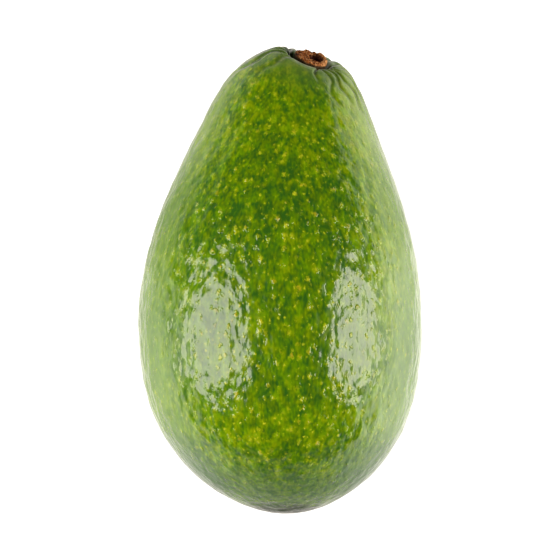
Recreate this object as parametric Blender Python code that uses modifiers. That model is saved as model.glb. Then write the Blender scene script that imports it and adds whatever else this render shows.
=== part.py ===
"""An avocado lying on its side, with the cork button of its stem still in the neck.

Metres, +Z up. The fruit rests on a small flat spot and the origin is the middle of that spot.
The stem end points towards +Y. A shape is worked out in the fruit's own frame, whose origin is
the middle of the long axis and whose +Y runs to the stem end, and an empty then lays it down.
"""

import math

import bmesh
import bpy
import numpy as np
from mathutils import Matrix, Vector

MM = 0.001

# The fruit. Each station is a distance from the blossom end and the half width there
LENGTH = 118.6 * MM
STATIONS = (
    (3.0 * MM, 12.2 * MM),
    (20.0 * MM, 30.0 * MM),
    (45.0 * MM, 35.75 * MM),
    (75.0 * MM, 31.4 * MM),
    (100.0 * MM, 21.5 * MM),
    (114.0 * MM, 13.2 * MM),
)
BELLY = 46.0 * MM  # the widest place, from the blossom end
THICKNESS_TO_WIDTH = 0.975
BOW_REACH = 60.0 * MM  # how far from the belly the axis has bowed by the next two values
BOW_SIDE = 2.3 * MM
BOW_UP = 1.2 * MM
AROUND = 72
ALONG = 46
RING_PULL = 0.45  # how much closer the rings of points are at the stem, as a share
SMOOTH_ANGLE = math.radians(40.0)  # edges sharper than this stay sharp

# How the fruit lies
AXIS_DIP = math.radians(7.4)  # the neck hangs a little lower than the belly
FLAT_DEPTH = 0.5 * MM  # how far the resting spot is flattened
UNDERSIDE_STEPS = 2001  # places tried for the lowest one

# The stem's seat in the neck, as directions in the fruit's own frame
NECK_RADIUS = 17.2 * MM
SEAT_SINK = 0.5 * MM  # the button's face is this much below the round of the neck
STEM_TURN = math.radians(24.0)  # from the long axis towards +X
STEM_RISE = math.radians(29.5)  # above the plane of the long axis
PIT_DEPTH = 2.0 * MM
PIT_RADIUS = 7.0 * MM
PIT_FLATNESS = 4  # a higher power gives a flatter floor and a steeper edge
PIT_BACK = 2.0 * MM  # the pit's middle lies this far behind the stem, on the seat's local Y
FLARE_RADIUS = 5.8 * MM  # the crevice round the button is this wide at the button's face
FLARE_DEPTH = 1.3 * MM

# The cork button and the gap round it
BUTTON_RADIUS = 4.2 * MM
BUTTON_HEIGHT = 3.6 * MM
BUTTON_EDGE = 0.7 * MM
BUTTON_DISH = 0.2 * MM
DISH_HALFWAY = 0.75  # the share of the dish's depth that is left halfway to its rim
BUTTON_TAPER = 0.4 * MM
EDGE_STEPS = 4
TURN_STEPS = 48
MERGE_DISTANCE = 0.01 * MM
HOLE_RADIUS = 1.1 * MM
HOLE_DEPTH = 1.6 * MM
HOLE_PLACE = (1.3 * MM, 1.9 * MM)
GAP = 0.3 * MM

CUTTER_SPARE = 3.0 * MM  # how far a cutter runs past the button's face
FLOOR_BLOCK_SIDE = 60.0 * MM

SKIN_GREEN = (0.12, 0.21, 0.01, 1.0)
SKIN_ROUGHNESS = 0.3
CORK_BROWN = (0.40, 0.16, 0.05, 1.0)
CORK_ROUGHNESS = 0.8


def clear_scene():
    """Removes whatever the scene holds."""
    for item in list(bpy.data.objects):
        bpy.data.objects.remove(item, do_unlink=True)


def collection(name):
    """A new collection of the scene."""
    made = bpy.data.collections.new(name)
    bpy.context.scene.collection.children.link(made)
    return made


def material(name, colour, roughness):
    """A Principled BSDF material of one colour."""
    made = bpy.data.materials.new(name)
    made.use_nodes = True
    shader = made.node_tree.nodes["Principled BSDF"]
    shader.inputs["Base Color"].default_value = colour
    shader.inputs["Roughness"].default_value = roughness
    shader.inputs["Metallic"].default_value = 0.0
    made.diffuse_color = colour
    return made


def half_widths(along):
    """Half widths at places along the axis, from -1 at the blossom end to 1 at the stem end.

    They are a circle's height over the axis times the one polynomial that gives every station.
    """
    stations = np.array(STATIONS)
    places = 2.0 * stations[:, 0] / LENGTH - 1.0
    fullness = stations[:, 1] / np.sqrt(1.0 - places**2)
    swell = np.polyval(np.polyfit(places, fullness, len(STATIONS) - 1), along)
    return swell * np.sqrt(np.clip(1.0 - along**2, 0.0, None))


def bow(y):
    """How far the axis has bowed at y, as a share of its bow at BOW_REACH from the belly."""
    return ((y + LENGTH / 2.0 - BELLY) / BOW_REACH) ** 2


def smooth_skin(directions):
    """Carries points of the unit sphere to the fruit's skin, before the stem's pit is made."""
    along = directions[:, 1]
    ring = np.hypot(directions[:, 0], directions[:, 2])
    share = half_widths(along) / np.maximum(ring, 1e-9)
    y = along * LENGTH / 2.0
    x = BOW_SIDE * bow(y) + directions[:, 0] * share
    z = BOW_UP * bow(y) + directions[:, 2] * share * THICKNESS_TO_WIDTH
    return np.stack((x, y, z), axis=1)


def stem_direction():
    """The direction in which the stem leaves the fruit, in the fruit's own frame."""
    level = math.cos(STEM_RISE)
    return Vector((level * math.sin(STEM_TURN), level * math.cos(STEM_TURN), math.sin(STEM_RISE)))


def stem_seat():
    """The middle of the button's face, measured out from the middle of the round neck."""
    y = LENGTH / 2.0 - NECK_RADIUS
    middle = Vector((BOW_SIDE * bow(y), y, BOW_UP * bow(y)))
    return middle + (NECK_RADIUS - SEAT_SINK) * stem_direction()


def seat_matrix():
    """The button's frame: local Z runs out along the stem and local X is level."""
    out = stem_direction()
    side = out.cross(Vector((0.0, 0.0, 1.0))).normalized()
    turn = Matrix((side, out.cross(side), out)).transposed().to_4x4()
    return Matrix.Translation(stem_seat()) @ turn


def sunk_at_stem(points):
    """Sinks the skin round the stem into a shallow pit with a soft edge."""
    out = np.array(stem_direction())
    middle = seat_matrix() @ Vector((0.0, PIT_BACK, 0.0))
    offset = points - np.array(middle)
    height = offset @ out
    reach = np.linalg.norm(offset - height[:, None] * out, axis=1)
    depth = PIT_DEPTH * np.exp(-((reach / PIT_RADIUS) ** PIT_FLATNESS))
    depth *= height > -LENGTH / 2.0
    return points - depth[:, None] * out


def pole_turn():
    """The turn that takes the sphere's +Z pole to the direction that lands on the stem's seat."""
    seat = stem_seat()
    along = 2.0 * seat.y / LENGTH
    radius = half_widths(np.array([along]))[0]
    ring = math.sqrt(1.0 - along**2)
    x = (seat.x - BOW_SIDE * bow(seat.y)) / radius * ring
    z = (seat.z - BOW_UP * bow(seat.y)) / (radius * THICKNESS_TO_WIDTH) * ring
    return np.array(Vector((x, along, z)).to_track_quat("Z", "X").to_matrix())


def drawn_to_pole(directions):
    """Slides points of the unit sphere towards its +Z pole, so that the rings there are closer."""
    ring = np.hypot(directions[:, 0], directions[:, 1])
    angle = np.arctan2(ring, directions[:, 2])
    angle -= RING_PULL * np.sin(angle)
    share = np.sin(angle) / np.maximum(ring, 1e-9)
    flat = directions[:, :2] * share[:, None]
    return np.column_stack((flat, np.cos(angle)))


def fruit_mesh(skin):
    """The skin: a sphere with a pole at the stem, whose points are carried to the fruit."""
    ball = bmesh.new()
    bmesh.ops.create_uvsphere(ball, u_segments=AROUND, v_segments=ALONG, radius=1.0)
    mesh = bpy.data.meshes.new("fruit")
    ball.to_mesh(mesh)
    ball.free()
    directions = np.empty(len(mesh.vertices) * 3, dtype=np.float32)
    mesh.vertices.foreach_get("co", directions)
    directions = drawn_to_pole(directions.reshape(-1, 3).astype(float)) @ pole_turn().T
    points = sunk_at_stem(smooth_skin(directions))
    mesh.vertices.foreach_set("co", points.astype(np.float32).ravel())
    mesh.materials.append(skin)
    mesh.update()
    return mesh


def lying_matrix():
    """Lays the fruit down, with the lowest place of its underside just under the origin."""
    turns = np.linspace(0.0, math.pi, UNDERSIDE_STEPS)
    underside = np.stack((np.zeros_like(turns), np.cos(turns), -np.sin(turns)), axis=1)
    dip = Matrix.Rotation(-AXIS_DIP, 4, "X")
    points = smooth_skin(underside) @ np.array(dip.to_3x3()).T
    lowest = Vector(points[np.argmin(points[:, 2])])
    return Matrix.Translation(-lowest - Vector((0.0, 0.0, FLAT_DEPTH))) @ dip


def turned(name, profile):
    """A solid of revolution about local Z, from a profile that runs down its outer side."""
    mesh = bpy.data.meshes.new(name)
    edges = [(i, i + 1) for i in range(len(profile) - 1)]
    mesh.from_pydata([(radius, 0.0, height) for radius, height in profile], edges, [])
    made = bpy.data.objects.new(name, mesh)
    screw = made.modifiers.new("turn", "SCREW")
    screw.steps = TURN_STEPS
    screw.render_steps = TURN_STEPS
    screw.use_merge_vertices = True
    screw.merge_threshold = MERGE_DISTANCE
    screw.use_smooth_shade = True
    return made


def floor_block(name):
    """A box whose top is the plane that the fruit rests on."""
    solid = bmesh.new()
    bmesh.ops.create_cube(
        solid,
        size=FLOOR_BLOCK_SIDE,
        matrix=Matrix.Translation((0.0, 0.0, -FLOOR_BLOCK_SIDE / 2.0)),
    )
    mesh = bpy.data.meshes.new(name)
    solid.to_mesh(mesh)
    solid.free()
    return bpy.data.objects.new(name, mesh)


def cut(target, tool):
    """Takes the tool's shape out of the target and hides the tool."""
    tool.hide_render = True
    tool.display_type = "WIRE"
    boolean = target.modifiers.new(tool.name, "BOOLEAN")
    boolean.operation = "DIFFERENCE"
    boolean.solver = "EXACT"
    boolean.object = tool


def button_profile():
    """The button from the middle of its dished face, over its round edge, to its narrower foot."""
    corner = BUTTON_RADIUS - BUTTON_EDGE
    profile = [(0.0, -BUTTON_DISH), (corner / 2.0, -BUTTON_DISH * DISH_HALFWAY)]
    for step in range(EDGE_STEPS + 1):
        angle = math.pi / 2.0 * step / EDGE_STEPS
        radius = corner + BUTTON_EDGE * math.sin(angle)
        profile.append((radius, BUTTON_EDGE * (math.cos(angle) - 1.0)))
    profile.append((BUTTON_RADIUS - BUTTON_TAPER, -BUTTON_HEIGHT))
    profile.append((0.0, -BUTTON_HEIGHT))
    return profile


def socket_profile():
    """The space cut for the button: a flared crevice over a straight hole with a gap all round."""
    radius = BUTTON_RADIUS + GAP
    bottom = -BUTTON_HEIGHT - GAP
    flare = FLARE_RADIUS + (FLARE_RADIUS - radius) / FLARE_DEPTH * CUTTER_SPARE
    return [
        (0.0, CUTTER_SPARE),
        (flare, CUTTER_SPARE),
        (radius, -FLARE_DEPTH),
        (radius, bottom),
        (0.0, bottom),
    ]


def hole_profile():
    """The hole in the button's face, where the heart of the stub has dried out."""
    top = CUTTER_SPARE
    return [(0.0, top), (HOLE_RADIUS, top), (HOLE_RADIUS, -HOLE_DEPTH), (0.0, -HOLE_DEPTH)]


def main():
    """Builds the fruit and its stem button."""
    clear_scene()
    parts = collection("avocado")
    cutters = collection("cutters")
    lying = bpy.data.objects.new("avocado_axis", None)
    lying.matrix_world = lying_matrix()
    parts.objects.link(lying)

    skin = material("skin", SKIN_GREEN, SKIN_ROUGHNESS)
    fruit = bpy.data.objects.new("fruit", fruit_mesh(skin))
    fruit.parent = lying
    fruit.data.shade_smooth()
    fruit.data.set_sharp_from_angle(angle=SMOOTH_ANGLE)
    parts.objects.link(fruit)

    button = turned("stem_button", button_profile())
    button.data.materials.append(material("cork", CORK_BROWN, CORK_ROUGHNESS))
    parts.objects.link(button)
    socket = turned("socket_cutter", socket_profile())
    hole = turned("hole_cutter", hole_profile())
    for seated in (button, socket, hole):
        seated.parent = lying
        seated.matrix_local = seat_matrix()
    hole.matrix_local = seat_matrix() @ Matrix.Translation((*HOLE_PLACE, 0.0))
    floor = floor_block("floor_cutter")
    for tool in (socket, hole, floor):
        cutters.objects.link(tool)

    cut(fruit, socket)
    cut(fruit, floor)
    cut(button, hole)


main()
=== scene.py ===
"""The looks of an avocado lying on its side: its glossy pebbled skin and its dry stem button."""

import logging
import math
from dataclasses import dataclass
from enum import Enum

import bpy
import numpy as np
from mathutils import Matrix, Vector


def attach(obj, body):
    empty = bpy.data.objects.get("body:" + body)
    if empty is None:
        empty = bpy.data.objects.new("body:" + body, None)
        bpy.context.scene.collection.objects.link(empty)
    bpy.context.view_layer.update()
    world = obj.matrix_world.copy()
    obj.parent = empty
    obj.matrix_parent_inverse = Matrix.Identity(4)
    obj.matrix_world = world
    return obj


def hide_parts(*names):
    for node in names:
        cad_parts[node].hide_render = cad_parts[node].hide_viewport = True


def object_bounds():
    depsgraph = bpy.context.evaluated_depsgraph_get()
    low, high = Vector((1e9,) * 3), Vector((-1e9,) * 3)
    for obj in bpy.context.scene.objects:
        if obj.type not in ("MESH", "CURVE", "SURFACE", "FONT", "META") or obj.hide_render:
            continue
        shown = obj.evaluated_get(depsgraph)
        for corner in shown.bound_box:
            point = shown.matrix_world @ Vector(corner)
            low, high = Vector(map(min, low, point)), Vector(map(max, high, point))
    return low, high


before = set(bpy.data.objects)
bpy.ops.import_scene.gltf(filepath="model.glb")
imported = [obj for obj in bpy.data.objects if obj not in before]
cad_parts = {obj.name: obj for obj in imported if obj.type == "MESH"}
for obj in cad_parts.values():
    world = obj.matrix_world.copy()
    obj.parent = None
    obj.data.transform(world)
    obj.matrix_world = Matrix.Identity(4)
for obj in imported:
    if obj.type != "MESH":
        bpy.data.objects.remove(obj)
CAD_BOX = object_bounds()

MM = 0.001
TINY = 1e-9
FULL_TURN = 2.0 * math.pi
FAR_OFF = 99.0
WHITE = (1.0, 1.0, 1.0)
LOG = logging.getLogger("avocado")

Socket = bpy.types.NodeSocket
Colour = tuple[float, float, float]
Range = tuple[float, float]
# A slope runs smoothly from its third number to its fourth, between its first and its second.
Slope = tuple[float, float, float, float]
# A hump has a middle, a half width and a height.
Hump = tuple[float, float, float]


class Rise(Enum):
    """How a mapped value runs between its ends."""

    STRAIGHT = "LINEAR"
    SMOOTH = "SMOOTHSTEP"


class Mixing(Enum):
    """How a second colour meets the first."""

    COVER = "MIX"
    TINT = "MULTIPLY"


class Outline(Enum):
    """The outline of a light."""

    OVAL = "ELLIPSE"
    SQUARED = "RECTANGLE"


def smooth_step(low: float, high: float, values: np.ndarray) -> np.ndarray:
    """Rises from 0 at low to 1 at high along a cubic with level ends."""
    share = np.clip((values - low) / (high - low), 0.0, 1.0)
    return share * share * (3.0 - 2.0 * share)


def bell(values: np.ndarray, width: float) -> np.ndarray:
    """A round hump: 1 at zero, falling off as exp(-(value / width) squared)."""
    return np.exp(-((values / width) ** 2))


def moved(points: np.ndarray, matrix: Matrix) -> np.ndarray:
    """Points carried by a matrix that turns and shifts."""
    whole = np.array(matrix)
    return points @ whole[:3, :3].T + whole[:3, 3]


@dataclass(frozen=True)
class Noise:
    """Repeatable noise over points in space, all of it drawn from one seed."""

    seed: int
    place_factors: tuple[int, int, int] = (0x8DA6B343, 0xD8163841, 0xCB1AB31F)
    seed_factor: int = 7919
    channel_factor: int = 104729
    mixing_factors: tuple[int, int] = (0x2C1B3C6D, 0x297A2D39)
    mixing_shift: int = 15
    largest: int = 0xFFFFFFFF
    gain: float = 1.5

    def draw(self, cells: np.ndarray, channel: int) -> np.ndarray:
        """Gives every lattice cell an even random number.

        The cell's whole-number place is multiplied by large odd numbers, summed and mixed by
        shifts and products in 32 bits.

        Args:
            cells: Whole-number places, three to a row.
            channel: Picks an independent set of numbers.

        Returns:
            Numbers from 0 up to 1, one to a row.
        """
        mixed = cells.astype(np.int64) @ np.array(self.place_factors)
        mixed = mixed + self.seed * self.seed_factor + channel * self.channel_factor
        mixed = mixed & self.largest
        for factor in self.mixing_factors:
            mixed = ((mixed ^ (mixed >> self.mixing_shift)) * factor) & self.largest
        return (mixed ^ (mixed >> self.mixing_shift)) / (self.largest + 1.0)

    def swell(self, points: np.ndarray, size: float) -> np.ndarray:
        """Gradient noise: smooth swells, mostly between -0.7 and 0.7.

        Each lattice corner has a random slope. A point takes the eight corners' planes, weighted
        by a quintic of its place in the cell.

        Args:
            points: Places in space, three to a row.
            size: How far apart the swells are.

        Returns:
            One value for each point.
        """
        scaled = points / size
        corner = np.floor(scaled)
        inside = scaled - corner
        fade = inside**3 * (inside * (inside * 6.0 - 15.0) + 10.0)
        total = np.zeros(len(points))
        for step in np.ndindex(2, 2, 2):
            cell = corner + step
            slope = np.stack([self.draw(cell, axis) - 0.5 for axis in range(3)], axis=1)
            slope /= np.linalg.norm(slope, axis=1, keepdims=True) + TINY
            weight = np.prod(np.where(step, fade, 1.0 - fade), axis=1)
            total += weight * np.sum(slope * (inside - step), axis=1)
        return total * self.gain


@dataclass(frozen=True)
class Form:
    """The fruit's plain form, in its own frame: the long axis is Y and its middle the origin.

    Each station is a distance from the blossom end and the half width there.
    """

    length: float = 118.6 * MM
    stations: tuple[Range, ...] = (
        (3.0 * MM, 12.2 * MM),
        (20.0 * MM, 30.0 * MM),
        (45.0 * MM, 35.75 * MM),
        (75.0 * MM, 31.4 * MM),
        (100.0 * MM, 21.5 * MM),
        (114.0 * MM, 13.2 * MM),
    )
    belly: float = 46.0 * MM
    thickness_to_width: float = 0.975
    bow_reach: float = 60.0 * MM
    bow_side: float = 2.3 * MM
    bow_up: float = 1.2 * MM
    neck_radius: float = 17.2 * MM
    seat_sink: float = 0.5 * MM
    stem_turn: float = math.radians(24.0)
    stem_rise: float = math.radians(29.5)
    pit_depth: float = 2.0 * MM
    pit_radius: float = 7.0 * MM
    pit_back: float = 2.0 * MM
    axis_dip: float = math.radians(7.4)
    flat_depth: float = 0.5 * MM
    underside_steps: int = 2001

    def half_width(self, along: np.ndarray) -> np.ndarray:
        """Half widths along the axis.

        They are a circle's height over the axis times the one polynomial that passes through
        every station, so both ends close round.

        Args:
            along: Places from -1 at the blossom end to 1 at the stem end.

        Returns:
            The half width at each place.
        """
        stations = np.array(self.stations)
        places = 2.0 * stations[:, 0] / self.length - 1.0
        fullness = stations[:, 1] / np.sqrt(1.0 - places**2)
        swell = np.polyval(np.polyfit(places, fullness, len(stations) - 1), along)
        return swell * np.sqrt(np.clip(1.0 - along**2, 0.0, None))

    def middle(self, y: np.ndarray) -> np.ndarray:
        """Points of the bowed axis, off a straight line by the square of the way from the belly."""
        bow = ((y + self.length / 2.0 - self.belly) / self.bow_reach) ** 2
        return np.stack((self.bow_side * bow, y, self.bow_up * bow), axis=-1)

    def skin(self, directions: np.ndarray) -> np.ndarray:
        """Carries points of the unit sphere to the skin.

        The sphere's Y gives the place along the axis, and its X and Z are stretched to the half
        width and half thickness there, about the bowed axis.

        Args:
            directions: Points of the unit sphere, three numbers to a row.

        Returns:
            The points of the skin.
        """
        along = directions[:, 1]
        ring = np.hypot(directions[:, 0], directions[:, 2])
        share = self.half_width(along) / np.maximum(ring, TINY)
        points = self.middle(along * self.length / 2.0)
        points[:, 0] += directions[:, 0] * share
        points[:, 2] += directions[:, 2] * share * self.thickness_to_width
        return points

    def directions(self, points: np.ndarray) -> np.ndarray:
        """The way back from the skin to the unit sphere.

        Args:
            points: Points of the skin.

        Returns:
            The point of the sphere that each of them comes from.
        """
        along = 2.0 * points[:, 1] / self.length
        ring = np.sqrt(np.clip(1.0 - along**2, 0.0, None))
        across = points - self.middle(points[:, 1])
        scale = ring / self.half_width(along)
        x = across[:, 0] * scale
        z = across[:, 2] * scale / self.thickness_to_width
        found = np.stack((x, along, z), axis=1)
        return found / np.linalg.norm(found, axis=1, keepdims=True)

    def fullness(self, points: np.ndarray) -> np.ndarray:
        """How far out of the plain form points lie, by the ellipse of the section at their y.

        Args:
            points: Places in the fruit's frame.

        Returns:
            Values under 1 inside the skin, 1 on it and over 1 outside.
        """
        along = np.clip(2.0 * points[:, 1] / self.length, -1.0, 1.0)
        across = points - self.middle(points[:, 1])
        radius = np.maximum(self.half_width(along), TINY)
        return np.hypot(across[:, 0], across[:, 2] / self.thickness_to_width) / radius

    def seat(self) -> Matrix:
        """The stem's frame.

        Returns:
            A matrix whose Z runs out along the stem, X is level and Y points back and down.
        """
        level = math.cos(self.stem_rise)
        out = Vector(
            (
                level * math.sin(self.stem_turn),
                level * math.cos(self.stem_turn),
                math.sin(self.stem_rise),
            )
        )
        side = out.cross(Vector((0.0, 0.0, 1.0))).normalized()
        turn = Matrix((side, out.cross(side), out)).transposed().to_4x4()
        middle = Vector(self.middle(np.array(self.length / 2.0 - self.neck_radius)))
        place = middle + (self.neck_radius - self.seat_sink) * out
        return Matrix.Translation(place) @ turn

    def lying(self) -> Matrix:
        """Lays the fruit down.

        Returns:
            A matrix that dips the axis and puts the lowest place of the underside just under
            the origin.
        """
        turns = np.linspace(0.0, math.pi, self.underside_steps)
        underside = np.stack((np.zeros_like(turns), np.cos(turns), -np.sin(turns)), axis=1)
        dip = Matrix.Rotation(-self.axis_dip, 4, "X")
        points = moved(self.skin(underside), dip)
        lowest = Vector(points[np.argmin(points[:, 2])])
        return Matrix.Translation(-lowest - Vector((0.0, 0.0, self.flat_depth))) @ dip


@dataclass(frozen=True)
class Crease:
    """A fold in the skin that runs out from the stem.

    Its bearing is taken well away from the stem. Close to the stem it turns aside by hook.
    """

    bearing: float
    depth: float
    width: float
    reach: float
    hook: float


@dataclass(frozen=True)
class Lobe:
    """A broad rise (or a dip, when the height is negative) on one side of the stem."""

    bearing: float
    radius: float
    width: float
    height: float


@dataclass(frozen=True)
class NeckFolds:
    """How the skin puckers round the stem, in the seat's frame: bearings are from its X.

    A crease's row holds its bearing in degrees, its depth, width and reach in millimetres, and
    its hook in degrees.
    """

    crevice_depth: float = 2.3 * MM
    crevice_radius: float = 4.3 * MM
    crevice_width: float = 0.95 * MM
    crevice_slack: float = 0.5 * MM
    slack_bearing: float = math.radians(-165.0)
    slack_power: int = 3
    lobe_power: int = 2
    hook_reach: float = 3.0 * MM
    wander_turn: float = 0.06
    wander_per_mm: float = 0.9
    wander_spread: float = 5.0
    width_at_axis: float = 0.6
    full_reach: float = 0.55
    crease_shade: float = 1.1
    lobes: tuple[Lobe, ...] = (
        Lobe(math.radians(178.0), 9.5 * MM, 4.5 * MM, 0.80 * MM),
        Lobe(math.radians(-105.0), 4.8 * MM, 2.4 * MM, -0.95 * MM),
    )
    creases: tuple[Crease, ...] = tuple(
        Crease(math.radians(bearing), depth * MM, width * MM, reach * MM, math.radians(hook))
        for bearing, depth, width, reach, hook in (
            (-69.0, 0.70, 0.30, 12.5, 9.0),
            (-47.0, 0.40, 0.40, 19.0, -8.0),
            (-30.0, 0.45, 0.42, 21.0, -16.0),
            (-13.0, 0.50, 0.42, 22.0, -24.0),
            (4.0, 0.45, 0.40, 22.0, -30.0),
            (22.0, 0.50, 0.45, 22.0, -30.0),
            (42.0, 0.45, 0.50, 21.0, -24.0),
            (66.0, 0.45, 0.60, 18.0, -15.0),
            (92.0, 0.50, 0.70, 18.0, 0.0),
            (116.0, 0.55, 0.60, 18.0, 12.0),
            (138.0, 0.90, 0.55, 22.0, 20.0),
            (158.0, 1.10, 0.55, 24.0, 27.0),
            (178.0, 0.95, 0.50, 22.0, 25.0),
            (-160.0, 0.60, 0.55, 20.0, 20.0),
            (-134.0, 0.35, 0.60, 18.0, 12.0),
        )
    )

    def heights(self, reach: np.ndarray, bearing: np.ndarray) -> tuple[np.ndarray, np.ndarray]:
        """How far the skin stands off its plain form round the stem.

        A deep ring-shaped crevice hugs the button, roomier on one side. The lobes raise one
        shoulder and lower the other. Each crease is a narrow trough that widens and dies away
        outwards.

        Args:
            reach: Distances from the stem's axis.
            bearing: Bearings round it, in radians.

        Returns:
            Heights in metres, and how deep in a fold each point lies, from 0 to about 1.
        """
        slack = (0.5 + 0.5 * np.cos(bearing - self.slack_bearing)) ** self.slack_power
        edge = self.crevice_radius + self.crevice_slack * slack
        crevice = bell(np.maximum(reach - edge, 0.0), self.crevice_width)
        height = -self.crevice_depth * crevice
        for lobe in self.lobes:
            facing = (0.5 + 0.5 * np.cos(bearing - lobe.bearing)) ** self.lobe_power
            height += lobe.height * bell(reach - lobe.radius, lobe.width) * facing
        depth = crevice.copy()
        near = smooth_step(0.0, self.crevice_radius, reach)
        hooked = bell(reach - self.crevice_radius, self.hook_reach)
        widening = (1.0 - self.width_at_axis) * reach / self.crevice_radius
        for crease in self.creases:
            phase = crease.bearing * self.wander_spread
            wander = self.wander_turn * np.sin(reach / MM * self.wander_per_mm + phase)
            turn = bearing - crease.bearing - crease.hook * hooked + wander
            turn = (turn + math.pi) % FULL_TURN - math.pi
            spread = crease.width * (self.width_at_axis + widening)
            trough = bell(turn * reach, spread) * (np.abs(turn) < math.pi / 2.0)
            trough *= 1.0 - smooth_step(self.full_reach * crease.reach, crease.reach, reach)
            height -= crease.depth * trough * near
            depth += self.crease_shade * crease.depth / MM * trough * near
        return height, depth


@dataclass(frozen=True)
class Swell:
    """One size of bump: how far apart the bumps are, how high, and how drawn out on each axis.

    The shift moves the noise on, so that no two swells share a stretch of it.
    """

    size: float
    height: float
    shift: float = 0.0
    stretch: tuple[float, float, float] = (1.0, 1.0, 1.0)

    def heights(self, points: np.ndarray, noise: Noise) -> np.ndarray:
        """The swell's heights at points."""
        return noise.swell(points / np.array(self.stretch) + self.shift, self.size) * self.height


@dataclass(frozen=True)
class Relief:
    """The skin's own unevenness, calmer towards the blossom end and up the neck."""

    tip_share: float = 0.55
    tip_range: Range = (-34.0 * MM, -44.0 * MM)
    neck_share: float = 0.65
    neck_range: Range = (8.0 * MM, 26.0 * MM)
    swells: tuple[Swell, ...] = (
        Swell(12.0 * MM, 0.20 * MM, 0.31, (1.0, 1.4, 1.0)),
        Swell(5.0 * MM, 0.18 * MM, 0.44, (1.0, 1.4, 1.0)),
        Swell(2.5 * MM, 0.16 * MM, 0.57, (1.0, 1.4, 1.0)),
    )

    def heights(self, points: np.ndarray, noise: Noise) -> np.ndarray:
        """Heights off the plain form: swells of falling size, added up.

        Args:
            points: Places in the fruit's frame.
            noise: Draws the swells.

        Returns:
            Heights in metres.
        """
        height = np.zeros(len(points))
        for swell in self.swells:
            height += swell.heights(points, noise)
        tip = smooth_step(*self.tip_range, points[:, 1])
        neck = smooth_step(*self.neck_range, points[:, 1])
        share = 1.0 - (1.0 - self.tip_share) * tip - (1.0 - self.neck_share) * neck
        return height * share


@dataclass
class GridSurface:
    """A closed surface on a grid of rings and columns, from one pole to the other."""

    points: np.ndarray

    def normals(self) -> np.ndarray:
        """Takes the cross product of the steps down the rings and round them.

        Returns:
            The outward normal at every point.
        """
        around = np.roll(self.points, -1, axis=1) - np.roll(self.points, 1, axis=1)
        down = np.gradient(self.points, axis=0)
        found = np.cross(down, around)
        return found / (np.linalg.norm(found, axis=2, keepdims=True) + TINY)

    def raised(self, heights: np.ndarray) -> "GridSurface":
        """The same grid with each point moved along its normal."""
        return GridSurface(self.points + self.normals() * heights[:, :, None])

    def mesh(self, name: str, measures: dict[str, np.ndarray]) -> bpy.types.Mesh:
        """Makes the mesh: quads between the rings and a fan of triangles at each pole.

        Args:
            name: The mesh's name.
            measures: Values kept at the points, each as a grid, under the names that the
                materials read.

        Returns:
            The mesh, with its end poles as the means of the end rings.
        """
        rings, columns = self.points.shape[:2]
        poles = self.points[[0, -1]].mean(axis=1)
        coordinates = np.concatenate((self.points.reshape(-1, 3), poles))
        index = np.arange(rings * columns).reshape(rings, columns)
        right = np.roll(index, -1, axis=1)
        quads = np.stack((index[:-1], index[1:], right[1:], right[:-1]), axis=2)
        top = np.stack((np.full(columns, rings * columns), index[0], right[0]), axis=1)
        foot = np.stack((np.full(columns, rings * columns + 1), right[-1], index[-1]), axis=1)
        corners = np.concatenate((quads.ravel(), top.ravel(), foot.ravel())).astype(np.int32)
        sides = [4] * ((rings - 1) * columns) + [3] * (2 * columns)
        starts = np.concatenate(([0], np.cumsum(sides)[:-1])).astype(np.int32)

        mesh = bpy.data.meshes.new(name)
        mesh.vertices.add(len(coordinates))
        mesh.vertices.foreach_set("co", coordinates.astype(np.float32).ravel())
        mesh.loops.add(len(corners))
        mesh.loops.foreach_set("vertex_index", corners)
        mesh.polygons.add(len(sides))
        mesh.polygons.foreach_set("loop_start", starts)
        mesh.update(calc_edges=True)
        mesh.validate()
        mesh.shade_smooth()
        for label, grid in measures.items():
            values = np.concatenate((grid.ravel(), grid[[0, -1]].mean(axis=1)))
            kept = mesh.attributes.new(label, "FLOAT", "POINT")
            kept.data.foreach_set("value", values.astype(np.float32))
        return mesh


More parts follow.
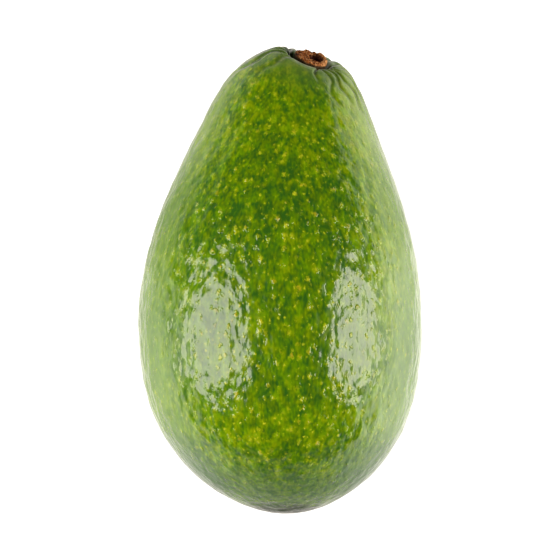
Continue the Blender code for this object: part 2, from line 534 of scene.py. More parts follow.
class Nodes:
    """Short words for wiring a node tree. A value is a plain one or another node's output."""

    def __init__(self, tree: bpy.types.NodeTree) -> None:
        """Takes the tree to add to."""
        self.tree = tree

    def add(self, kind: str, **settings: object) -> bpy.types.Node:
        """Adds a node.

        Args:
            kind: The node's type.
            settings: Its properties.

        Returns:
            The node.
        """
        made = self.tree.nodes.new(kind)
        for key, value in settings.items():
            setattr(made, key, value)
        return made

    def join(self, source: Socket, target: Socket) -> None:
        """Links an output to an input."""
        self.tree.links.new(source, target)

    def feed(self, target: Socket, value: object) -> None:
        """Links an input to an output, or sets it to a plain value.

        Args:
            target: The input.
            value: An output, a number, a vector or a colour without its alpha.
        """
        if isinstance(value, Socket):
            self.join(value, target)
        elif isinstance(value, tuple) and len(value) == 3 and target.type == "RGBA":
            target.default_value = (*value, 1.0)
        else:
            target.default_value = value

    def math(self, operation: str, *values: object, clamp: bool = False) -> Socket:
        """A Math node.

        Args:
            operation: The node's operation.
            values: Its values in order.
            clamp: Whether its result is held between 0 and 1.

        Returns:
            The result.
        """
        made = self.add("ShaderNodeMath", operation=operation, use_clamp=clamp)
        for target, value in zip(made.inputs, values):
            self.feed(target, value)
        return made.outputs[0]

    def total(self, first: object, *others: object) -> Socket:
        """Adds up values.

        Args:
            first: The first of them.
            others: The rest.

        Returns:
            The sum.
        """
        for value in others:
            first = self.math("ADD", first, value)
        return first

    def product(self, first: object, *others: object) -> Socket:
        """Multiplies values.

        Args:
            first: The first of them.
            others: The rest.

        Returns:
            The product.
        """
        for value in others:
            first = self.math("MULTIPLY", first, value)
        return first

    def capped(self, first: object, second: object) -> Socket:
        """A product held between 0 and 1."""
        return self.math("MULTIPLY", first, second, clamp=True)

    def span(
        self,
        value: object,
        low: object,
        high: object,
        to_low: object = 0.0,
        to_high: object = 1.0,
        rise: Rise = Rise.STRAIGHT,
    ) -> Socket:
        """A Map Range node.

        Args:
            value: What it reads.
            low: Where it gives to_low.
            high: Where it gives to_high.
            to_low: What it gives at low and beyond it.
            to_high: What it gives at high and beyond it.
            rise: How it runs between them.

        Returns:
            The result.
        """
        made = self.add("ShaderNodeMapRange", interpolation_type=rise.value)
        for target, given in zip(made.inputs, (value, low, high, to_low, to_high)):
            self.feed(target, given)
        return made.outputs["Result"]

    def ramp(
        self, value: object, low: object, high: object, to_low: object = 0.0, to_high: object = 1.0
    ) -> Socket:
        """A smooth Map Range node, from to_low at low to to_high at high."""
        return self.span(value, low, high, to_low, to_high, Rise.SMOOTH)

    def between(self, share: Socket, first: object, second: object) -> Socket:
        """A number that is first where the share is 0 and second where it is 1."""
        return self.span(share, 0.0, 1.0, first, second)

    def hump(self, value: Socket, middle: float, width: float, height: float) -> Socket:
        """A round hump over a value: height at the middle and 0 at width to either side."""
        away = self.math("ABSOLUTE", self.math("SUBTRACT", value, middle))
        return self.ramp(away, width, 0.0, 0.0, height)

    def blend(
        self, share: object, first: object, second: object, mixing: Mixing = Mixing.COVER
    ) -> Socket:
        """A colour mix.

        Args:
            share: How much of the second colour counts.
            first: The colour where share is 0.
            second: The colour where it is 1.
            mixing: How the second meets the first.

        Returns:
            The mixed colour.
        """
        made = self.add("ShaderNodeMix", data_type="RGBA", blend_type=mixing.value)
        self.feed(made.inputs["Factor"], share)
        self.feed(made.inputs[6], first)
        self.feed(made.inputs[7], second)
        return made.outputs[2]

    def vector(self, operation: str, *values: object) -> Socket:
        """A Vector Math node.

        Args:
            operation: The node's operation.
            values: Its vectors in order.

        Returns:
            The resulting vector.
        """
        made = self.add("ShaderNodeVectorMath", operation=operation)
        for target, value in zip(made.inputs, values):
            self.feed(target, value)
        return made.outputs["Vector"]

    def length(self, vector: Socket) -> Socket:
        """Measures a vector.

        Args:
            vector: The vector.

        Returns:
            Its length.
        """
        made = self.add("ShaderNodeVectorMath", operation="LENGTH")
        self.join(vector, made.inputs[0])
        return made.outputs["Value"]

    def parts(self, vector: Socket) -> bpy.types.NodeOutputs:
        """Takes a vector apart.

        Args:
            vector: The vector.

        Returns:
            Its X, Y and Z.
        """
        apart = self.add("ShaderNodeSeparateXYZ")
        self.join(vector, apart.inputs[0])
        return apart.outputs

    def where(self) -> Socket:
        """Object coordinates, in metres from where the fruit rests."""
        return self.add("ShaderNodeTexCoord").outputs["Object"]

    def along(self, axis: str) -> Socket:
        """The place along an axis, in millimetres from where the fruit rests."""
        return self.math("DIVIDE", self.parts(self.where())[axis], MM)

    def measure(self, name: str) -> Socket:
        """A value that the mesh keeps at its points."""
        made = self.add("ShaderNodeAttribute", attribute_type="GEOMETRY", attribute_name=name)
        return made.outputs["Fac"]

    def relief(self, height: Socket, unit: float) -> Socket:
        """A Bump node at full strength.

        Args:
            height: The height at a point.
            unit: How many metres a height of 1 stands for.

        Returns:
            The bent normal.
        """
        made = self.add("ShaderNodeBump")
        made.inputs["Strength"].default_value = 1.0
        made.inputs["Distance"].default_value = unit
        self.join(height, made.inputs["Height"])
        return made.outputs["Normal"]


@dataclass(frozen=True)
class Texture:
    """The place of a pattern on a piece.

    Its unit is so many millimetres across the fruit and along it. The shift moves it on to a
    stretch of its own.
    """

    across: float
    along: float
    shift: float = 0.0
    shift_ratios: tuple[float, float, float] = (1.0, 0.7, 1.3)

    def place(self, kit: Nodes) -> Socket:
        """Places the pattern.

        Args:
            kit: Wires the nodes.

        Returns:
            Object coordinates in the pattern's own units.
        """
        across, along = 1.0 / (self.across * MM), 1.0 / (self.along * MM)
        mapping = kit.add("ShaderNodeMapping", vector_type="POINT")
        mapping.inputs["Scale"].default_value = (across, along, across)
        mapping.inputs["Location"].default_value = tuple(
            self.shift * ratio for ratio in self.shift_ratios
        )
        kit.join(kit.where(), mapping.inputs["Vector"])
        return mapping.outputs["Vector"]


@dataclass(frozen=True)
class Cloud(Texture):
    """A pattern of smooth noise."""

    detail: float = 0.0
    rough: float = 0.5
    finer: float = 1.0

    def node(self, kit: Nodes) -> bpy.types.Node:
        """Adds the noise texture.

        Args:
            kit: Wires the nodes.

        Returns:
            The texture's node.
        """
        made = kit.add("ShaderNodeTexNoise")
        kit.join(self.place(kit), made.inputs["Vector"])
        made.inputs["Scale"].default_value = self.finer
        made.inputs["Detail"].default_value = self.detail
        made.inputs["Roughness"].default_value = self.rough
        return made

    def value(self, kit: Nodes) -> Socket:
        """The noise's value, about 0.5 in the middle."""
        return self.node(kit).outputs["Fac"]

    def shifts(self, kit: Nodes, size: float) -> Socket:
        """Smooth uneven shifts.

        Args:
            kit: Wires the nodes.
            size: About how large they get in every direction.

        Returns:
            A vector.
        """
        centred = kit.vector("SUBTRACT", self.node(kit).outputs["Color"], (0.5, 0.5, 0.5))
        scaled = kit.add("ShaderNodeVectorMath", operation="SCALE")
        kit.join(centred, scaled.inputs[0])
        scaled.inputs["Scale"].default_value = 2.0 * size
        return scaled.outputs[0]


@dataclass(frozen=True)
class Seeds(Texture):
    """A pattern of scattered seeds."""

    def scatter(self, kit: Nodes, wobble: Socket) -> tuple[Socket, bpy.types.NodeOutputs]:
        """A Voronoi texture on the pattern's place.

        Args:
            kit: Wires the nodes.
            wobble: Small shifts that make what stands on the seeds uneven.

        Returns:
            The distance to the nearest seed, and that seed's three random numbers.
        """
        cells = kit.add("ShaderNodeTexVoronoi", feature="F1")
        kit.join(kit.vector("ADD", self.place(kit), wobble), cells.inputs["Vector"])
        cells.inputs["Scale"].default_value = 1.0
        cells.inputs["Randomness"].default_value = 1.0
        chances = kit.add("ShaderNodeSeparateColor")
        kit.join(cells.outputs["Color"], chances.inputs[0])
        return cells.outputs["Distance"], chances.outputs


@dataclass(frozen=True)
class PebbleSockets:
    """What a layer of lenticels gives out."""

    bump: Socket
    halo: Socket
    dot: Socket
    chance: Socket


@dataclass(frozen=True)
class Pebbles(Seeds):
    """Small domes scattered over the skin, each with a lenticel on top.

    Reaches are shares of the dome's own radius, but the halo's are in units of the pattern.
    """

    radius: float = 0.32
    radius_spread: Range = (0.7, 1.3)
    rarity: float = 1.2
    faintest: float = 0.15
    dot_reach: Range = (0.9, 0.1)
    bump_reach: float = 1.2
    halo_reach: Range = (0.58, 0.08)

    def wire(self, kit: Nodes, wobble: Socket) -> PebbleSockets:
        """Wires the layer: on each seed stands one dome.

        Args:
            kit: Wires the nodes.
            wobble: Small shifts that make the domes uneven.

        Returns:
            The dome's height from 0 to 1, the paler ring round a lenticel, how much of a
            lenticel covers a point, and one random number for each dome.
        """
        away, (red, green, blue) = self.scatter(kit, wobble)
        least, most = (share * self.radius for share in self.radius_spread)
        edge = kit.between(green, least, most)
        strength = kit.between(kit.math("POWER", red, self.rarity), self.faintest, 1.0)
        outer, inner = (kit.product(edge, share) for share in self.dot_reach)
        dot = kit.ramp(away, outer, inner)
        bump = kit.ramp(away, kit.product(edge, self.bump_reach), 0.0)
        halo = kit.ramp(away, *self.halo_reach)
        return PebbleSockets(
            bump=kit.product(bump, strength),
            halo=kit.product(halo, strength),
            dot=kit.product(dot, strength),
            chance=blue,
        )


@dataclass(frozen=True)
class Grooves(Seeds):
    """Short narrow hollows that run along the fruit. Only some of the seeds have one."""

    radius: float = 0.32
    rarity: Range = (0.15, 0.7)

    def wire(self, kit: Nodes, wobble: Socket) -> Socket:
        """How deep in a hollow a point lies, from 0 to 1."""
        away, chances = self.scatter(kit, wobble)
        return kit.product(kit.ramp(away, self.radius, 0.0), kit.ramp(chances[0], *self.rarity))


@dataclass(frozen=True)
class SkinTone:
    """How light the green is from place to place, from about 0 to 1.

    Places are in millimetres along the fruit or to the right of its middle. A flank is a share
    of the half width, from 0 at the middle to 1 at the outline.
    """

    base: float = 0.367
    waist: Hump = (26.0, 15.0, -0.13)
    foot: Hump = (-31.0, 13.0, 0.29)
    neck: Slope = (30.0, 46.0, 0.0, 0.20)
    tip: Slope = (-40.0, -47.0, 0.0, -0.16)
    stripe: Hump = (0.0, 15.0, -0.06)
    shoulder_across: Hump = (-19.0, 12.0, -0.22)
    shoulder_along: Hump = (-10.0, 22.0, 1.0)
    side_range: Range = (-12.0, 12.0)
    upper_range: Range = (-12.0, 14.0)
    lower_range: Range = (-24.0, -38.0)
    belly_paler: Range = (0.12, 0.15)
    neck_paler: Range = (0.20, 0.48)
    foot_paler: Range = (-0.60, -0.45)
    rise_start: Range = (0.62, 0.50)
    rise_end: Range = (0.86, 0.70)
    rim_range: Range = (0.75, 0.97)
    rim: Range = (-0.06, -0.28)

    def zones(self, kit: Nodes) -> Socket:
        """How the tone drifts down the fruit: darker at the waist, paler at the foot.

        Args:
            kit: Wires the nodes.

        Returns:
            What to add to the tone.
        """
        y, x = kit.along("Y"), kit.along("X")
        shoulder = kit.product(
            kit.hump(x, *self.shoulder_across), kit.hump(y, *self.shoulder_along)
        )
        return kit.total(
            kit.hump(y, *self.waist),
            kit.hump(y, *self.foot),
            kit.ramp(y, *self.neck),
            kit.ramp(y, *self.tip),
            kit.hump(x, *self.stripe),
            shoulder,
        )

    def flanks(self, kit: Nodes, flank: Socket) -> Socket:
        """How the tone drifts out to the flanks, as painted side light: paler up the neck, most on
        the right.

        The ranges that it blends hold a value for the left flank and one for the right.

        Args:
            kit: Wires the nodes.
            flank: How far out to the flank a point is.

        Returns:
            What to add to the tone.
        """
        y, right = kit.along("Y"), kit.ramp(kit.along("X"), *self.side_range)
        upper, lower = kit.ramp(y, *self.upper_range), kit.ramp(y, *self.lower_range)
        belly, neck = kit.between(right, *self.belly_paler), kit.between(right, *self.neck_paler)
        # painted side light: the flanks made paler where the softboxes light them from the sides
        painted_side_light = kit.total(
            kit.between(upper, belly, neck),
            kit.product(lower, kit.between(right, *self.foot_paler)),
        )
        start, end = kit.between(right, *self.rise_start), kit.between(right, *self.rise_end)
        rim = kit.ramp(flank, *self.rim_range, 0.0, kit.between(right, *self.rim))
        return kit.total(kit.product(kit.ramp(flank, start, end), painted_side_light), rim)


@dataclass(frozen=True)
class SkinCalm:
    """Where the mottling is weaker: out to the flanks, at the tip and beside the belly."""

    flanks: Slope = (0.60, 0.92, 1.0, 0.3)
    tip: Slope = (-46.0, -39.0, 0.65, 1.0)
    belly_across: Hump = (19.0, 13.0, 1.0)
    belly_along: Hump = (-9.0, 26.0, 1.0)
    belly_share: float = 0.60
    speckle_flanks: Slope = (0.6, 0.9, 0.30, 0.13)

    def shares(self, kit: Nodes, flank: Socket, y: Socket) -> tuple[Socket, Socket]:
        """How much of the pattern shows.

        Args:
            kit: Wires the nodes.
            flank: How far out to the flank a point is.
            y: The place along the fruit in millimetres.

        Returns:
            The share of the mottling, and the strength of the fine speckle.
        """
        side = kit.math("ABSOLUTE", kit.along("X"))
        belly = kit.product(kit.hump(side, *self.belly_across), kit.hump(y, *self.belly_along))
        quiet = kit.between(belly, 1.0, self.belly_share)
        mottling = kit.product(kit.ramp(flank, *self.flanks), kit.ramp(y, *self.tip), quiet)
        return mottling, kit.product(kit.ramp(flank, *self.speckle_flanks), quiet)


@dataclass(frozen=True)
class SkinMarks:
    """What the skin's colour and its fine relief are both made from.

    The flank is 0 at the middle of the fruit and 1 at its outline. The place along the fruit
    and the reach from the stem are in millimetres.
    """

    coarse: PebbleSockets
    fine: PebbleSockets
    groove: Socket
    grain: Socket
    flank: Socket
    along: Socket
    reach: Socket


@dataclass(frozen=True)
class Mottling:
    """The green's lightness: blotches, clouds and speckle on top of the slow drift."""

    drift: SkinTone = SkinTone()
    calm: SkinCalm = SkinCalm()
    blotches: Cloud = Cloud(2.0, 4.4, detail=2.0)
    blotch_slope: Slope = (0.30, 0.70, -0.46, 0.36)
    clouds: Cloud = Cloud(7.0, 13.0, 8.2)
    cloud_range: Range = (-0.30, 0.30)
    grain_range: Range = (-0.30, 0.30)
    speckle_range: Range = (-1.0, 1.0)
    coarse_halo: float = 0.80
    fine_halo: float = 0.48
    # Painted shade: the green is darker in the grooves.
    groove: float = -0.45

    def wire(self, kit: Nodes, marks: SkinMarks) -> tuple[Socket, Socket]:
        """Wires the lightness.

        Args:
            kit: Wires the nodes.
            marks: The skin's marks.

        Returns:
            The lightness, and the share of the mottling that shows.
        """
        mottled = kit.total(
            kit.ramp(self.blotches.value(kit), *self.blotch_slope),
            kit.between(self.clouds.value(kit), *self.cloud_range),
            kit.between(marks.grain, *self.grain_range),
            kit.product(marks.coarse.halo, self.coarse_halo),
            kit.product(marks.fine.halo, self.fine_halo),
            # painted shade in the grooves
            kit.product(marks.groove, self.groove),
        )
        shown, speckle = self.calm.shares(kit, marks.flank, marks.along)
        tone = kit.total(
            kit.product(mottled, shown),
            kit.product(kit.between(marks.grain, *self.speckle_range), speckle),
            self.drift.zones(kit),
            # painted side light on the flanks
            self.drift.flanks(kit, marks.flank),
            self.drift.base,
        )
        return tone, shown


@dataclass(frozen=True)
class SkinRelief:
    """The heights of the fine relief, in millimetres."""

    ripple: Cloud = Cloud(1.5, 2.4, 1.9)
    ripple_height: float = 0.185
    grain: float = 0.032
    coarse: float = 0.160
    coarse_waist: Hump = (19.0, 14.0, 0.13)
    fine: float = 0.060
    groove: float = -0.052
    neck_slope: Slope = (10.0, 30.0, 1.0, 0.72)
    flank_slope: Slope = (0.60, 0.95, 1.0, 0.75)

    def wire(self, kit: Nodes, marks: SkinMarks) -> Socket:
        """Wires the fine height, lower up the neck and out to the flanks.

        Args:
            kit: Wires the nodes.
            marks: The skin's marks.

        Returns:
            The height in millimetres.
        """
        coarse = kit.total(kit.hump(marks.along, *self.coarse_waist), self.coarse)
        height = kit.total(
            kit.product(self.ripple.value(kit), self.ripple_height),
            kit.product(marks.grain, self.grain),
            kit.product(marks.coarse.bump, coarse),
            kit.product(marks.fine.bump, self.fine),
            kit.product(marks.groove, self.groove),
        )
        neck = kit.ramp(marks.along, *self.neck_slope)
        return kit.product(height, neck, kit.ramp(marks.flank, *self.flank_slope))


@dataclass(frozen=True)
class BlossomEnd:
    """Painted shade round the blossom end, in dark grey-green, and the small dry scar in its
    middle.

    Reaches are from the tip, in millimetres, and each edge is made uneven by a cloud.
    """

    soft: Cloud = Cloud(3.5, 3.5, 4.6, detail=2.0)
    soft_range: Range = (-4.0, 4.0)
    tip_shade_range: Range = (12.0, 6.0)
    fine: Cloud = Cloud(0.9, 0.9, 7.3, detail=2.0)
    fine_range: Range = (-1.4, 1.4)
    scar_range: Range = (3.0, 1.8)

    def wire(self, kit: Nodes) -> tuple[Socket, Socket]:
        """Wires the blossom end.

        Args:
            kit: Wires the nodes.

        Returns:
            How much painted shade a point has round the blossom end, and how much of the scar.
        """
        reach = kit.measure("tip_reach")
        soft = kit.between(self.soft.value(kit), *self.soft_range)
        fine = kit.between(self.fine.value(kit), *self.fine_range)
        # painted shade round the blossom end, with an uneven edge
        tip_shade = kit.ramp(kit.total(reach, soft), *self.tip_shade_range)
        return tip_shade, kit.ramp(kit.total(reach, fine), *self.scar_range)


@dataclass(frozen=True)
class SkinFinish:
    """Glossy mottled green skin with yellow lenticels.

    The lenticels are fainter out to the flanks, at the tip and round the stem, and stronger at
    the foot.
    """

    deep_green: Colour = (0.028, 0.094, 0.0055)
    leaf_green: Colour = (0.085, 0.177, 0.0012)
    olive_green: Colour = (0.185, 0.290, 0.0012)
    leaf_range: Range = (-0.2, 0.5)
    olive_range: Range = (0.5, 1.25)
    cool: Colour = (0.89, 1.01, 1.2)
    warm: Colour = (1.10, 0.99, 0.9)
    warmth: Cloud = Cloud(1.5, 3.2, 6.1, detail=1.0)
    warmth_range: Range = (0.35, 0.65)
    wobble: Cloud = Cloud(2.2, 3.0, 4.4, finer=5.0)
    wobble_size: float = 0.22
    coarse: Pebbles = Pebbles(2.0, 2.6, 5.3, radius=0.34)
    fine: Pebbles = Pebbles(1.2, 1.6, 9.1, radius=0.31)
    grooves: Grooves = Grooves(1.25, 3.4, 3.7)
    grain: Cloud = Cloud(0.62, 1.2, 2.7)
    mottling: Mottling = Mottling()
    relief: SkinRelief = SkinRelief()
    blossom_end: BlossomEnd = BlossomEnd()
    lenticel_yellow: Colour = (0.43, 0.46, 0.016)
    lenticel_orange: Colour = (0.45, 0.34, 0.014)
    orange_range: Range = (0.5, 0.9)
    lenticel_flank: Slope = (0.25, 0.72, 1.0, 0.35)
    lenticel_tip: Slope = (-42.0, -38.0, 0.08, 1.0)
    lenticel_stem: Slope = (8.0, 22.0, 0.15, 1.0)
    lenticel_foot: Hump = (-31.0, 12.0, 0.6)
    # Greyer, duller green near the stem: partly the skin's own duller colour, partly painted sheen.
    dull_and_sheen_green: Colour = (0.085, 0.140, 0.030)
    dull_and_sheen_range: Range = (17.0, 5.0)
    dull_and_sheen_share: float = 0.7
    # Painted shade in the creases round the stem.
    crease_shade_green: Colour = (0.018, 0.040, 0.006)
    crease_shade_share: float = 0.9
    # Painted shade round the blossom end.
    tip_shade_green: Colour = (0.020, 0.026, 0.018)
    tip_shade_share: float = 0.85
    scar_brown: Colour = (0.060, 0.042, 0.022)
    scar_share: float = 0.8
    roughness: Range = (0.125, 0.30)
    rough_range: Range = (16.0, 6.0)
    tip_gloss: Range = (0.5, 0.06)
    crease_gloss: Range = (1.0, 0.15)
    index: float = 1.5

    def material(self) -> bpy.types.Material:
        """Builds the skin's material.

        Returns:
            The material.
        """
        made = bpy.data.materials.new("skin")
        made.use_nodes = True
        kit = Nodes(made.node_tree)
        shader = made.node_tree.nodes["Principled BSDF"]
        marks = self.marks(kit)
        tip_shade, scar = self.blossom_end.wire(kit)
        colour = self.folded(kit, marks, self.dotted(kit, marks, self.greens(kit, marks)))
        # painted shade: the skin darkened to grey-green round the blossom end
        colour = kit.blend(kit.product(tip_shade, self.tip_shade_share), colour, self.tip_shade_green)
        colour = kit.blend(kit.product(scar, self.scar_share), colour, self.scar_brown)
        kit.feed(shader.inputs["Base Color"], colour)
        near_stem = kit.ramp(marks.reach, *self.rough_range)
        kit.feed(shader.inputs["Roughness"], kit.between(near_stem, *self.roughness))
        shader.inputs["IOR"].default_value = self.index
        crease = kit.between(kit.measure("fold"), *self.crease_gloss)
        gloss = kit.product(kit.between(tip_shade, *self.tip_gloss), crease)
        kit.feed(shader.inputs["Specular IOR Level"], gloss)
        kit.join(kit.relief(self.relief.wire(kit, marks), MM), shader.inputs["Normal"])
        return made

    def marks(self, kit: Nodes) -> SkinMarks:
        """Wires the marks that the colour and the relief share.

        Args:
            kit: Wires the nodes.

        Returns:
            The marks.
        """
        wobble = self.wobble.shifts(kit, self.wobble_size)
        return SkinMarks(
            coarse=self.coarse.wire(kit, wobble),
            fine=self.fine.wire(kit, wobble),
            groove=self.grooves.wire(kit, wobble),
            grain=self.grain.value(kit),
            flank=kit.measure("flank"),
            along=kit.along("Y"),
            reach=kit.measure("stem_reach"),
        )

    def greens(self, kit: Nodes, marks: SkinMarks) -> Socket:
        """The mottled green, with its cooler and warmer patches.

        Args:
            kit: Wires the nodes.
            marks: The skin's marks.

        Returns:
            The colour.
        """
        tone, shown = self.mottling.wire(kit, marks)
        green = kit.blend(kit.span(tone, *self.leaf_range), self.deep_green, self.leaf_green)
        green = kit.blend(kit.span(tone, *self.olive_range), green, self.olive_green)
        warmth = kit.ramp(self.warmth.value(kit), *self.warmth_range)
        return kit.blend(shown, green, kit.blend(warmth, self.cool, self.warm), Mixing.TINT)

    def dotted(self, kit: Nodes, marks: SkinMarks, colour: Socket) -> Socket:
        """A colour with the lenticels on it.

        Args:
            kit: Wires the nodes.
            marks: The skin's marks.
            colour: What the lenticels lie on.

        Returns:
            The colour with fine yellow lenticels, and coarse ones from yellow to orange.
        """
        shown = kit.product(
            kit.ramp(marks.flank, *self.lenticel_flank),
            kit.ramp(marks.along, *self.lenticel_tip),
            kit.ramp(marks.reach, *self.lenticel_stem),
        )
        foot = kit.total(kit.hump(marks.along, *self.lenticel_foot), 1.0)
        fine = kit.capped(kit.product(marks.fine.dot, shown), foot)
        colour = kit.blend(fine, colour, self.lenticel_yellow)
        orange = kit.span(marks.coarse.chance, *self.orange_range)
        spot = kit.blend(orange, self.lenticel_yellow, self.lenticel_orange)
        return kit.blend(kit.product(marks.coarse.dot, shown), colour, spot)

    def folded(self, kit: Nodes, marks: SkinMarks, colour: Socket) -> Socket:
        """A colour with the folds round the stem on it.

        Args:
            kit: Wires the nodes.
            marks: The skin's marks.
            colour: What the folds lie on.

        Returns:
            The colour, duller and greyer near the stem, partly as painted sheen, and darkened in
            the creases with painted shade.
        """
        # partly the skin's duller colour near the stem, partly painted sheen
        dull_and_sheen = kit.product(kit.ramp(marks.reach, *self.dull_and_sheen_range), self.dull_and_sheen_share)
        colour = kit.blend(dull_and_sheen, colour, self.dull_and_sheen_green)
        # painted shade: the creases darkened to a deep green
        crease = kit.capped(kit.measure("fold"), self.crease_shade_share)
        return kit.blend(crease, colour, self.crease_shade_green)


@dataclass(frozen=True)
class CorkFinish:
    """Dry granular cork with painted highlights on its grains, paler on the right, and painted
    shade in the gaps between grains and over the left side.
    """

    rust: Colour = (0.125, 0.032, 0.007)
    orange: Colour = (0.37, 0.112, 0.020)
    grains: Cloud = Cloud(0.42, 0.42, detail=3.0, rough=0.6)
    grain_range: Range = (0.38, 0.6)
    grain_height: float = 0.25 * MM
    tan: Colour = (0.60, 0.29, 0.105)
    highlight_flecks: Cloud = Cloud(0.55, 0.55, 2.2, detail=1.0)
    highlight_fleck_range: Range = (0.50, 0.68)
    pale_slope: Slope = (8.6, 11.8, 0.0, 0.55)
    pale_share: float = 1.0
    shade_black: Colour = (0.012, 0.004, 0.002)
    gap_shade: Cloud = Cloud(0.60, 0.60, 6.6, detail=1.0)
    gap_shade_range: Range = (0.50, 0.68)
    shade_slope: Slope = (7.0, 4.0, 0.0, 0.50)
    shade_share: float = 0.75
    # Painted shade inside the hole.
    hole_shade: Colour = (0.072, 0.022, 0.010)
    hole_shade_range: Range = (0.1, 0.6)
    bark: Colour = (0.060, 0.038, 0.016)
    roughness: float = 0.85
    gloss: float = 0.15

    def material(self) -> bpy.types.Material:
        """Builds the button's material.

        Returns:
            The material.
        """
        made = bpy.data.materials.new("cork")
        made.use_nodes = True
        kit = Nodes(made.node_tree)
        shader = made.node_tree.nodes["Principled BSDF"]
        grains, x = self.grains.value(kit), kit.along("X")
        # painted highlights: pale tan flecks on the grains, and paler towards the right
        highlight_flecks = kit.ramp(self.highlight_flecks.value(kit), *self.highlight_fleck_range)
        highlight_and_pale_right = kit.total(highlight_flecks, kit.ramp(x, *self.pale_slope))
        # painted shade: dark gaps between the grains, and shadow over the left side
        gap_shade = kit.ramp(self.gap_shade.value(kit), *self.gap_shade_range)
        shade = kit.total(gap_shade, kit.ramp(x, *self.shade_slope))
        colour = kit.blend(kit.ramp(grains, *self.grain_range), self.rust, self.orange)
        colour = kit.blend(kit.capped(highlight_and_pale_right, self.pale_share), colour, self.tan)
        colour = kit.blend(kit.capped(shade, self.shade_share), colour, self.shade_black)
        # painted shade: darker red-brown inside the hole
        hollow = kit.ramp(kit.measure("hollow"), *self.hole_shade_range)
        colour = kit.blend(hollow, colour, self.hole_shade)
        colour = kit.blend(kit.measure("wall"), colour, self.bark)
        kit.feed(shader.inputs["Base Color"], colour)
        shader.inputs["Roughness"].default_value = self.roughness
        shader.inputs["Specular IOR Level"].default_value = self.gloss
        kit.join(kit.relief(grains, self.grain_height), shader.inputs["Normal"])
        return made


